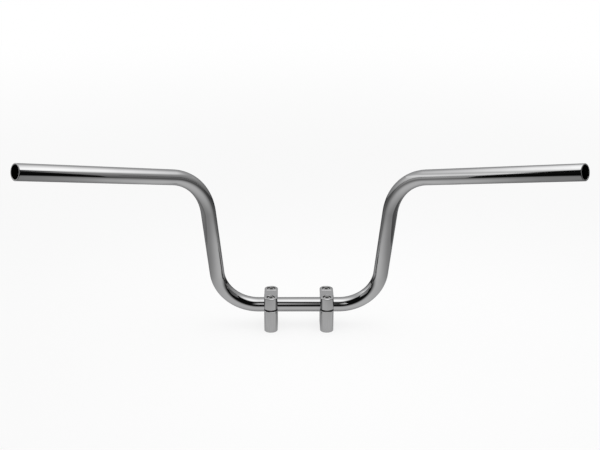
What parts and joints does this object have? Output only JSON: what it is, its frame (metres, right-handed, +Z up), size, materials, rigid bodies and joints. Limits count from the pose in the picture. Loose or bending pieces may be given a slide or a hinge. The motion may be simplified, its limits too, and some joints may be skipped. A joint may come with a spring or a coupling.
{
  "type": "motorcycle handlebar",
  "caption": "Chromed bent-tube motorcycle handlebar with tall uprights and swept-back open grips, clamped at its centre in split risers with recessed socket screws.",
  "frame": {"origin": "midway between the two risers, on the flat plane that they stand on", "axes": "+Z up the risers, +X to the rider's right along the bar's centre run, -Y back towards the rider and the grips"},
  "size_m": [0.816, 0.3224, 0.3699],
  "materials": {
    "bar_chrome": "bright chrome plate on steel tube",
    "riser_chrome": "chrome plate on machined steel",
    "screw_steel": "bright zinc on steel"
  },
  "bodies": {
    "root": {"handlebar_tube": "bar_chrome", "left_riser_body": "riser_chrome", "right_riser_body": "riser_chrome", "left_riser_cap": "riser_chrome", "right_riser_cap": "riser_chrome", "cap_screws": "screw_steel"}
  },
  "joints": []
}
